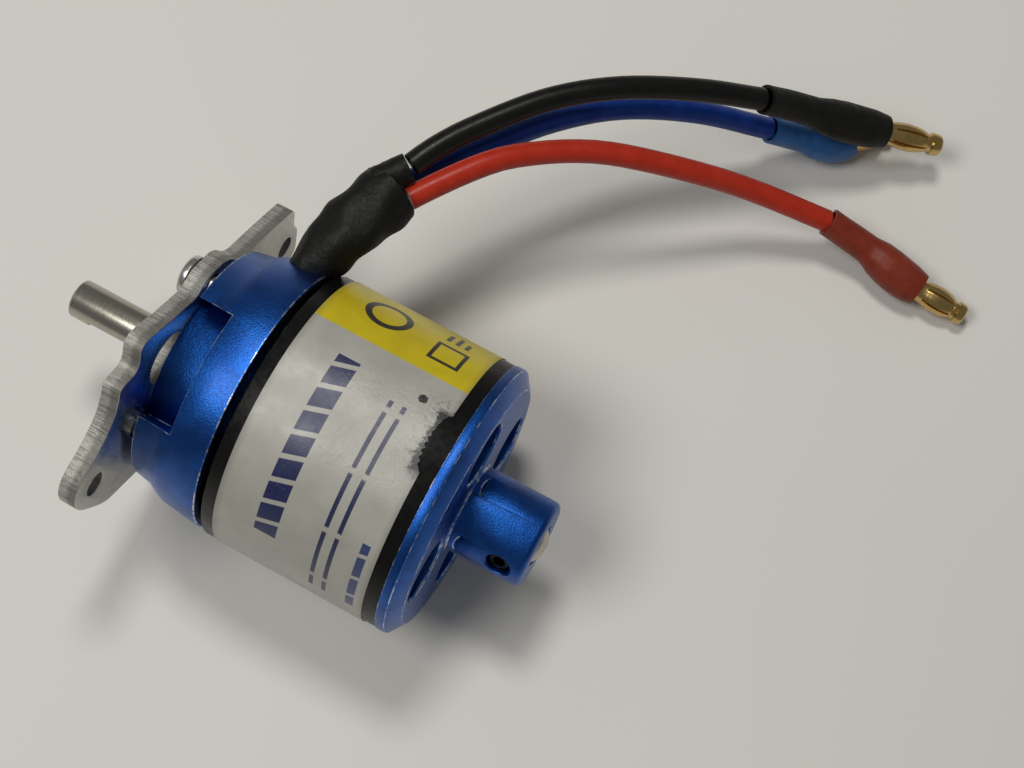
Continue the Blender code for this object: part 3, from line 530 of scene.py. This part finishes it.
def carved(name, mesh, cutters, edge_width, edge_angle=30.0, drilled_last=()):
    """mesh with the cutters taken out and its sharp edges broken; broken edges get material 1.

    The shapes in drilled_last are cut after the edges are broken and keep their own edges.
    """
    body = bpy.data.objects.new(name + "_blank", mesh)
    bpy.context.scene.collection.objects.link(body)
    tools = [cut_out(body, shape, matrix) for shape, matrix in cutters]
    if edge_width:
        bevel = body.modifiers.new("broken edges", "BEVEL")
        bevel.width = mm(edge_width)
        bevel.segments = 2
        bevel.limit_method = "ANGLE"
        bevel.angle_limit = math.radians(edge_angle)
        bevel.material = 1
        bevel.use_clamp_overlap = False
        blank = bpy.data.materials.get("blank") or bpy.data.materials.new("blank")
        mesh.materials.append(blank)
        mesh.materials.append(blank)
    tools += [cut_out(body, shape, matrix) for shape, matrix in drilled_last]
    bpy.context.view_layer.update()
    graph = bpy.context.evaluated_depsgraph_get()
    result = bpy.data.meshes.new_from_object(body.evaluated_get(graph))
    result.name = name
    kinds = [polygon.material_index for polygon in result.polygons]
    result.materials.clear()
    for polygon, kind in zip(result.polygons, kinds):
        polygon.material_index = kind
    for old in (body, *tools):
        bpy.data.objects.remove(old, do_unlink=True)
    shade_smooth(result)
    return result


def smooth_route(points, count):
    """A smooth curve through the route's points, read at equal lengths."""
    knots = [Vector(point) for point in points]
    knots = [2 * knots[0] - knots[1], *knots, 2 * knots[-1] - knots[-2]]
    fine = []
    for i in range(1, len(knots) - 2):
        before, start, end, after = knots[i - 1:i + 3]
        for j in range(20):
            t = j / 20
            fine.append(0.5 * (2 * start + (end - before) * t
                               + (2 * before - 5 * start + 4 * end - after) * t ** 2
                               + (3 * start - before - 3 * end + after) * t ** 3))
    fine.append(knots[-2])
    lengths = [0.0]
    for a, b in zip(fine, fine[1:]):
        lengths.append(lengths[-1] + (b - a).length)
    route = []
    for k in range(count):
        wanted = lengths[-1] * k / (count - 1)
        i = 0
        while i < len(lengths) - 2 and lengths[i + 1] < wanted:
            i += 1
        part = (wanted - lengths[i]) / (lengths[i + 1] - lengths[i])
        route.append(fine[i].lerp(fine[i + 1], part))
    return route


def read_along(values, share):
    place = (len(values) - 1) * share
    i = min(int(place), len(values) - 2)
    return values[i] + (values[i + 1] - values[i]) * (place - i)


def shrink_tube(name, route, radii, bore, sides, lump, flatten=1.0, seed=0.0):
    """A hollow tube along a route, open at both ends, with shallow uneven lumps."""
    count = 40
    points = smooth_route(route, count)
    mesh = bpy.data.meshes.new(name)
    work = bmesh.new()
    up = Vector((0.0, 0.0, 1.0))
    outer, inner = [], []
    for k, point in enumerate(points):
        ahead = points[min(k + 1, count - 1)] - points[max(k - 1, 0)]
        ahead.normalize()
        side = ahead.cross(up).normalized()
        top = side.cross(ahead)
        share = k / (count - 1)
        radius = read_along(radii, share)
        ring_out, ring_in = [], []
        for i in range(sides):
            turn = math.tau * i / sides
            wave = (math.sin(3 * turn + 9 * share + seed) * 0.5 + math.sin(5 * turn - 14 * share + 2 * seed)
                    * 0.3 + math.sin(2 * turn + 23 * share + seed) * 0.4)
            reach = radius * (1 + lump * wave * min(1.0, 4 * share + 0.3))
            way = side * math.cos(turn) / flatten + top * math.sin(turn) * flatten
            ring_out.append(work.verts.new((point + way * reach) * 0.001))
            ring_in.append(work.verts.new((point + way * (reach - bore)) * 0.001))
        outer.append(ring_out)
        inner.append(ring_in)
    loops = (*outer, *inner[::-1])
    for first, second in zip(loops, loops[1:] + loops[:1]):
        for i in range(sides):
            j = (i + 1) % sides
            work.faces.new((first[i], first[j], second[j], second[i]))
    bmesh.ops.recalc_face_normals(work, faces=work.faces)
    work.to_mesh(mesh)
    work.free()
    mesh.set_sharp_from_angle(angle=math.radians(50.0))
    return mesh


def wire_curve(name, route):
    curve = bpy.data.curves.new(name, "CURVE")
    curve.dimensions = "3D"
    curve.fill_mode = "FULL"
    curve.bevel_depth = mm(WIRE_R)
    curve.bevel_resolution = 8
    curve.use_fill_caps = True
    points = smooth_route(route, 30)
    spline = curve.splines.new("POLY")
    spline.points.add(len(points) - 1)
    for point, place in zip(spline.points, points):
        point.co = (mm(place[0]), mm(place[1]), mm(place[2]), 1.0)
    spline.use_smooth = True
    return curve


def length_of(route):
    points = smooth_route(route, 60)
    return sum((b - a).length for a, b in zip(points, points[1:])) * 0.001


# --------------------------------------------------------------------- leads
def bullet_mesh(name, length):
    """A gold bullet plug: collar, slotted spring cage, groove and nose."""
    scale = length / BULLET_LENGTH
    profile = ((0.0, 7.6), (0.7, 7.58), (1.1, 7.5), (1.38, 7.3), (1.47, 7.0), (1.5, 6.35), (1.22, 6.2),
               (1.22, 5.85), (1.45, 5.5), (1.66, 4.9), (1.78, 4.3), (1.83, 3.7), (1.81, 3.1), (1.72, 2.5),
               (1.58, 1.9), (1.5, 1.5), (1.5, 0.95), (1.72, 0.88), (1.75, 0.8), (1.75, 0.0), (0.0, 0.0))
    mesh = lathe(name, [(radius, station * scale) for radius, station in profile], 48, closed=False)
    slots = []
    for i in range(6):
        turn = Matrix.Rotation(math.tau * i / 6 + 0.5, 4, "Z")
        slots.append((box("slot", (1.0, 0.34, 3.9 * scale)),
                      turn @ Matrix.Translation((mm(1.75), 0.0, mm(3.75 * scale)))))
    return carved(name, mesh, slots, 0.0)


def make_leads(looks):
    pieces = {}
    sleeve = shrink_tube("lead_sleeve", SLEEVE_ROUTE, SLEEVE_RADII, 0.4, 72, 0.075, 0.9, 0.6)
    pieces["sleeve"] = add_piece("heat_shrink_sleeve", sleeve, [looks["black_shrink"]], "stator",
                                 ["lead_sleeve"])
    start = Vector(INNER_SLEEVE_ROUTE[0])
    inward = (start - Vector(INNER_SLEEVE_ROUTE[1])).normalized() * 2.0
    inner = shrink_tube("inner_sleeve", (start + inward, *INNER_SLEEVE_ROUTE), (1.95, 1.85), 0.25, 32, 0.02)
    pieces["inner"] = add_piece("black_lead_collar", inner, [looks["black_shrink"]], "stator",
                                ["black_lead_inner_sleeve"])
    routes = {"black": (BLACK_ROUTE, BLACK_PLUG), "blue": (BLUE_ROUTE, BLUE_PLUG),
              "red": (RED_ROUTE, RED_PLUG)}
    for color, (route, plug) in routes.items():
        wire_piece = add_piece(f"silicone_lead_{color}", wire_curve(f"silicone_lead_{color}", route),
                               [looks[f"{color}_silicone"]], "stator", [f"lead_{color}"])
        shrink = shrink_tube(f"plug_shrink_{color}", plug, PLUG_RADII, 0.4, 32, 0.012, 1.0, len(color))
        shrink_piece = add_piece(f"plug_shrink_{color}", shrink, [looks[f"{color}_shrink"]], "stator",
                                 [f"plug_sleeve_{color}"])
        start = Vector(plug[-1])
        direction = (Vector(TIPS[color]) - start).normalized()
        start = start - direction * 1.2
        length = (Vector(TIPS[color]) - start).length
        matrix = (Matrix.Translation(start * 0.001) @ direction.to_track_quat("Z", "Y").to_matrix().to_4x4())
        bullet = add_piece(f"gold_bullet_{color}", bullet_mesh(f"gold_bullet_{color}", length),
                           [looks["gold"]], "stator", [f"bullet_{color}"], matrix)
        on_it = [shrink_piece, bullet]
        if color == "black":
            on_it += [pieces["inner"], pieces["sleeve"]]
        length_of(route)


# --------------------------------------------------------------- plate, screws
ARM_ABOVE = ((-1.0, 15.9), (2.0, 18.6), (3.8, 20.2), (7.0, 21.1), (11.2, 22.0), (13.9, 21.3),
             (15.2, 20.0), (15.7, 18.5))
WAIST = ((15.4, 15.5), (15.6, 12.8), (16.5, 10.2), (17.6, 8.9), (18.3, 8.1))
ARM_NEAR = ((19.3, 7.3), (18.9, 6.2), (17.8, 5.0), (17.6, 4.2), (18.3, 3.2), (19.6, 2.4), (19.9, 1.6),
            (19.6, 0.6), (18.0, -0.8))
NEAR_SIDE = ((16.0, -2.2), (14.2, -4.0), (12.4, -5.5), (11.5, -6.5))
SCREW_LOBE = ((11.3, -8.2), (11.2, -9.2), (10.2, -10.5), (9.4, -11.2), (8.9, -11.9), (7.9, -12.5),
              (6.7, -12.9), (4.8, -13.1), (3.3, -13.7))
ARM_BELOW = ((2.5, -14.3), (0.1, -16.8), (-2.6, -19.4), (-5.0, -21.6), (-6.7, -23.07), (-9.6, -21.3),
             (-11.7, -21.5), (-13.6, -20.4), (-15.2, -19.5), (-15.7, -18.5))
ARM_FAR = ((-19.3, -7.3), (-18.9, -6.2), (-17.8, -5.0), (-17.6, -4.2), (-17.9, -3.2), (-18.35, -2.3),
           (-18.4, -1.5), (-18.1, -0.5), (-17.6, 0.8))
PLATE_HOLES = ((10.5, 1.4, 3.4), (-10.5, -1.4, 3.4), (10.9, 18.3, 1.55), (-10.9, -18.3, 1.55))
PLATE_FRONT = -16.3
PLATE_BACK = -13.9
PLATE_EDGE_R = 0.14
PLATE_SHAFT_HOLE_R = 4.5
PLATE_SCREW_HOLE_R = 1.7
SCREW_CIRCLE_R = 12.4
SCREW_ANGLES = (-44.0, 53.0, 136.0, 233.0)


def opposite(points):
    return tuple((-x, -y) for x, y in points)


def cornered_round(outline):
    points = []
    for i, (x, y) in enumerate(outline):
        after_x, after_y = outline[(i + 1) % len(outline)]
        points.append((0.75 * x + 0.25 * after_x, 0.75 * y + 0.25 * after_y))
        points.append((0.25 * x + 0.75 * after_x, 0.25 * y + 0.75 * after_y))
    return points


def circle_points(radius, count, center=(0.0, 0.0)):
    return [(center[0] + radius * math.cos(math.tau * i / count),
             center[1] + radius * math.sin(math.tau * i / count)) for i in range(count)]


def make_plate(looks):
    outline = (ARM_ABOVE + WAIST + ARM_NEAR + NEAR_SIDE + SCREW_LOBE + ARM_BELOW
               + opposite(WAIST) + ARM_FAR + opposite(NEAR_SIDE) + opposite(SCREW_LOBE))
    outlines = [cornered_round(cornered_round(outline)), circle_points(PLATE_SHAFT_HOLE_R, 64)]
    for x, y, radius in PLATE_HOLES:
        outlines.append(circle_points(radius, 56, (x, y)))
    for angle in SCREW_ANGLES:
        turn = math.radians(angle)
        center = (SCREW_CIRCLE_R * math.cos(turn), SCREW_CIRCLE_R * math.sin(turn))
        outlines.append(circle_points(PLATE_SCREW_HOLE_R, 40, center))
    edge = PLATE_EDGE_R
    curve = bpy.data.curves.new("plate_outline", "CURVE")
    curve.dimensions = "2D"
    curve.fill_mode = "BOTH"
    curve.extrude = mm((PLATE_BACK - PLATE_FRONT) / 2 - edge)
    curve.bevel_depth = mm(edge)
    curve.bevel_resolution = 2
    curve.offset = -mm(edge)
    for points in outlines:
        spline = curve.splines.new("POLY")
        spline.points.add(len(points) - 1)
        for point, (x, y) in zip(spline.points, points):
            point.co = (mm(x), mm(y), 0.0, 1.0)
        spline.use_cyclic_u = True
    blank = bpy.data.objects.new("plate_blank", curve)
    bpy.context.scene.collection.objects.link(blank)
    bpy.context.view_layer.update()
    graph = bpy.context.evaluated_depsgraph_get()
    mesh = bpy.data.meshes.new_from_object(blank.evaluated_get(graph))
    bpy.data.objects.remove(blank, do_unlink=True)
    work = bmesh.new()
    work.from_mesh(mesh)
    bmesh.ops.remove_doubles(work, verts=work.verts, dist=0.000001)
    bmesh.ops.recalc_face_normals(work, faces=work.faces)
    work.to_mesh(mesh)
    work.free()
    shade_smooth(mesh)
    mesh.materials.clear()
    matrix = AXIS @ Matrix.Translation((0.0, 0.0, mm((PLATE_BACK + PLATE_FRONT) / 2))) @ turn_to(0.0)
    add_piece("cross_plate", mesh, [looks["plate"]], "stator", ["mounting_plate"], matrix, smooth=False)


def make_screws(looks):
    profile = ((0.0, -9.2), (1.4, -9.2), (1.4, -16.33), (2.55, -16.33), (2.6, -16.4), (2.6, -16.85),
               (2.5, -17.07), (2.3, -17.25), (2.0, -17.4), (1.6, -17.5), (0.9, -17.58), (0.0, -17.6))
    for number, angle in enumerate(SCREW_ANGLES, start=1):
        slots = []
        for quarter in (0.0, math.pi / 2):
            slots.append((box("recess", (2.6, 0.55, 1.4)), Matrix.Translation((0.0, 0.0, mm(-17.6)))
                          @ Matrix.Rotation(quarter + 0.4, 4, "Z")))
        mesh = carved(f"pan_screw_{number}", lathe("pan_screw", profile, 48, closed=False), slots, 0.0)
        add_piece(f"pan_screw_{number}", mesh, [looks["zinc"]], "stator", [f"mount_screw_{number}"],
                  AXIS @ on_circle(SCREW_CIRCLE_R, angle))


# ------------------------------------------------------------------- the base
def make_base(looks):
    profile = ((6.5, 19.2), (6.5, -6.6), (16.3, -6.6), (16.6, -2.73), (17.5, -2.73), (17.6, -2.85),
               (17.3, -5.5), (17.0, -8.2), (16.5, -9.4), (15.9, -10.5), (15.5, -12.8), (15.4, -12.9),
               (13.0, -12.9), (13.0, -13.88), (5.5, -13.88), (5.5, -8.6), (4.9, -8.6), (4.9, 15.2),
               (5.5, 15.2), (5.5, 19.2))
    cutters = []
    for angle in POCKET_ANGLES:
        edge = math.asin(POCKET_HALF_WIDTH / POCKET_FLOOR_R)
        outline = []
        for i in range(25):
            turn = -edge + 2 * edge * i / 24
            outline.append((POCKET_FLOOR_R * math.cos(turn), POCKET_FLOOR_R * math.sin(turn)))
        outline += [(20.0, POCKET_HALF_WIDTH), (20.0, -POCKET_HALF_WIDTH)]
        cutters.append((prism("pocket", outline, -15.0, -7.9), turn_to(angle)))
    for angle in SCREW_ANGLES:
        hole = lathe("hole", ((0.0, -8.7), (1.45, -8.9), (1.45, -15.0), (0.0, -15.0)), 32, closed=False)
        cutters.append((hole, on_circle(SCREW_CIRCLE_R, angle)))
    hole = lathe("hole", ((0.0, 20.0), (2.7, 20.0), (2.7, 12.0), (0.0, 12.0)), 48, closed=False)
    cutters.append((hole, radial(LEAD_HOLE_STATION, LEAD_HOLE_ANGLE)))
    mesh = carved("anodised_base", lathe("anodised_base", profile, TURNED_STEPS), cutters, 0.09)
    add_piece("anodised_base", mesh, [looks["blue"], looks["blue_edge"]], "stator", ["stator_base"],
              AXIS, smooth=False)


# ------------------------------------------------------------------- the rotor
def make_shaft(looks):
    profile = ((0.0, 35.3), (0.7, 35.27), (1.3, 35.15), (1.8, 34.9), (2.2, 34.55), (2.42, 34.15), (2.5, 33.8),
               (2.5, -12.72), (2.12, -12.72), (2.12, -13.38), (2.5, -13.38), (2.5, -30.55), (2.46, -30.66),
               (2.2, -30.88), (2.12, -30.9), (0.0, -30.9))
    cutters = []
    for radius, angle, start, end in ((2.1, DRIVE_FLAT_ANGLE, -28.1, -18.0),
                                      (2.15, GRUB_ANGLE, 29.2, 33.6)):
        matrix = turn_to(angle) @ Matrix.Translation((mm(radius + 1.0), 0.0, mm((start + end) / 2)))
        cutters.append((box("flat", (2.0, 8.0, end - start)), matrix))
    mesh = carved("ground_shaft", lathe("ground_shaft", profile, 96, closed=False), cutters, 0.0)
    add_piece("ground_shaft", mesh, [looks["shaft"]], "rotor", ["shaft"], AXIS, smooth=False)


def make_bell(looks):
    profile = ((2.9, 34.7), (4.85, 34.7), (5.2, 34.6), (5.4, 34.45), (5.55, 34.25), (5.63, 34.0),
               (5.63, 24.85), (5.75, 24.65), (15.9, 24.65), (17.85, 23.3), (17.9, 23.15), (17.9, 22.1),
               (16.24, 22.1), (16.24, 21.0), (15.2, 21.0), (15.2, 22.1), (4.2, 22.1), (4.2, 20.3),
               (2.52, 20.3), (2.52, 33.4), (2.9, 33.4))
    cutters = []
    for angle in VENT_ANGLES:
        vent = lathe("vent", ((0.0, 26.0), (5.6, 26.0), (4.05, 24.45), (4.05, 21.5), (0.0, 21.5)), 60,
                     closed=False)
        cutters.append((vent, on_circle(VENT_CIRCLE_R, angle)))
    hole = lathe("hole", ((0.0, 7.0), (3.2, 7.0), (1.55, 5.3), (1.55, 1.0), (0.0, 1.0)), 48, closed=False)
    mesh = carved("anodised_bell_cap", lathe("anodised_bell_cap", profile, TURNED_STEPS), cutters, 0.07,
                  drilled_last=[(hole, radial(GRUB_STATION, GRUB_ANGLE))])
    add_piece("anodised_bell_cap", mesh, [looks["blue"], looks["blue_edge"]], "rotor", ["bell_cap"],
              AXIS, smooth=False)

    profile = ((0.0, 4.9), (1.2, 4.9), (1.4, 4.8), (1.5, 4.6), (1.5, 2.6), (1.1, 2.18), (0.0, 2.18))
    socket = prism("socket", circle_points(0.87, 6), 3.6, 5.5)
    mesh = carved("socket_grub", lathe("socket_grub", profile, 48, closed=False), [(socket, Matrix())], 0.0)
    add_piece("socket_grub", mesh, [looks["black_steel"]], "rotor", ["grub_screw"],
              AXIS @ radial(GRUB_STATION, GRUB_ANGLE), smooth=False)

    profile = ((16.3, 22.08), (17.8, 22.08), (17.8, -1.57), (17.75, -1.68), (17.65, -1.72), (16.3, -1.72))
    mesh = carved("steel_ring", lathe("steel_ring", profile, TURNED_STEPS), [], 0.06)
    add_piece("steel_ring", mesh, [looks["ring"], looks["ring_edge"]], "rotor", ["flux_ring"],
              AXIS, smooth=False)


def make_label(looks):
    """The label's shell; UVs are millimetres round from the pocket side and along from its front edge."""
    mesh = bpy.data.meshes.new("printed_label")
    work = bmesh.new()
    uv = work.loops.layers.uv.new("around_and_along")
    stations = 12
    count = 420
    rows, facts = [], {}
    for k in range(count + 1):
        angle = LABEL_START + (LABEL_END - LABEL_START) * k / count
        edge = LABEL_WIDTH
        if TEAR_START < angle < TEAR_END:
            inside = math.sin(math.pi * (angle - TEAR_START) / (TEAR_END - TEAR_START)) ** 0.4
            jag = 0.5 * math.sin(angle * 2.3) + 0.35 * math.sin(angle * 5.1 + 1.0)
            edge -= inside * (1.05 + 0.28 * jag)
        turn = math.radians(angle + CLOCKING)
        row = []
        for radius, places in ((LABEL_INNER_R, range(stations, -1, -1)), (LABEL_R, range(stations + 1))):
            for i in places:
                station = edge * i / stations
                vert = work.verts.new((mm(radius) * math.cos(turn), mm(radius) * math.sin(turn), mm(station)))
                facts[vert] = (angle * MM_PER_DEGREE, station)
                row.append(vert)
        rows.append(row)
    for row, after in zip(rows, rows[1:]):
        for i in range(len(row)):
            j = (i + 1) % len(row)
            work.faces.new((row[i], row[j], after[j], after[i]))
    work.faces.new(rows[0])
    work.faces.new(rows[-1])
    bmesh.ops.recalc_face_normals(work, faces=work.faces)
    for face in work.faces:
        for loop in face.loops:
            loop[uv].uv = facts[loop.vert]
    work.to_mesh(mesh)
    work.free()
    shade_smooth(mesh)
    add_piece("printed_label", mesh, [looks["label"]], "rotor", ["rotor_label"], AXIS, smooth=False)


def dress_inner_parts(looks):
    """The CAD parts that stay get the material of their kind."""
    kinds = (("coil_", "copper"), ("stator_core", "core"), ("magnet_", "nickel"), ("bearing", "bearing"),
             ("retaining_clip", "black_steel"), ("spacer_washer", "brass"))
    for name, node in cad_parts.items():
        for part, look in kinds:
            if part in name:
                for slot in node.material_slots:
                    slot.material = looks[look]


def make_floor():
    mesh = bpy.data.meshes.new("floor")
    corners = [(-2.0, -2.0, 0.0), (2.0, -2.0, 0.0), (2.0, 2.0, 0.0), (-2.0, 2.0, 0.0)]
    mesh.from_pydata(corners, [], [(0, 1, 2, 3)])
    floor = bpy.data.objects.new("floor", mesh)
    bpy.context.scene.collection.objects.link(floor)
    mesh.materials.append(floor_sheet())


# ----------------------------------------------------------------------- build
make_camera()
bpy.context.scene.view_settings.view_transform = "Standard"
make_light("key", (-0.17, 0.29, 0.94), 0.55, 0.12, 1.02, (1.0, 0.985, 0.94))
make_light("fill", (-0.34, -0.30, 0.88), 0.60, 0.26, 1.35, (1.0, 0.99, 0.95))
make_world((0.92, 0.93, 0.93), 0.17)

LOOKS = {
    "blue": blue_anodised("blue_anodised_finish", (0.005, 0.062, 0.30), (0.009, 0.105, 0.46), 0.31, 0.43),
    "blue_edge": worn_edge("blue_worn_edge", (0.08, 0.22, 0.62), (0.70, 0.74, 0.80), 0.14),
    "ring": black_ring_metal(),
    "ring_edge": worn_edge("ring_worn_edge", (0.03, 0.03, 0.03), (0.32, 0.31, 0.30), 0.04),
    "plate": plate_metal(),
    "zinc": steel("zinc_plated_steel", (0.66, 0.65, 0.62), 0.20, 0.34, 3.0),
    "shaft": steel("ground_shaft_steel", (0.50, 0.465, 0.40), 0.20, 0.32, 9.0),
    "bearing": steel("bearing_race_steel", (0.60, 0.60, 0.60), 0.14, 0.25, 8.0),
    "nickel": steel("magnet_nickel_plate", (0.55, 0.53, 0.49), 0.22, 0.36, 2.0),
    "core": steel("core_laminations", (0.22, 0.22, 0.23), 0.40, 0.55, 6.0),
    "black_steel": steel("black_oxide_steel", (0.02, 0.02, 0.02), 0.30, 0.46, 5.0),
    "brass": steel("washer_brass", (0.66, 0.47, 0.19), 0.25, 0.38, 5.0),
    "gold": steel("gold_plated_brass", (0.66, 0.45, 0.17), 0.16, 0.30, 5.0, 0.6),
    "copper": windings(),
    "label": label_paper(),
    "black_silicone": rubber("black_silicone_rubber", (0.004, 0.004, 0.004), (0.007, 0.007, 0.006),
                             0.30, 0.42, 0.02),
    "blue_silicone": rubber("blue_silicone_rubber", (0.004, 0.030, 0.20), (0.007, 0.045, 0.30),
                            0.30, 0.42, 0.02),
    "red_silicone": rubber("red_silicone_rubber", (0.40, 0.024, 0.010), (0.47, 0.032, 0.014),
                           0.30, 0.42, 0.02),
    "black_shrink": rubber("black_shrink_tube", (0.003, 0.003, 0.0025), (0.006, 0.006, 0.0045),
                           0.42, 0.62, 0.22),
    "blue_shrink": rubber("blue_shrink_tube", (0.015, 0.09, 0.27), (0.03, 0.14, 0.38), 0.30, 0.45, 0.06, 0.2),
    "red_shrink": rubber("red_shrink_tube", (0.17, 0.022, 0.010), (0.23, 0.032, 0.015), 0.34, 0.50, 0.10),
}

make_floor()
make_leads(LOOKS)
make_plate(LOOKS)
make_screws(LOOKS)
make_base(LOOKS)
make_shaft(LOOKS)
make_bell(LOOKS)
make_label(LOOKS)
dress_inner_parts(LOOKS)
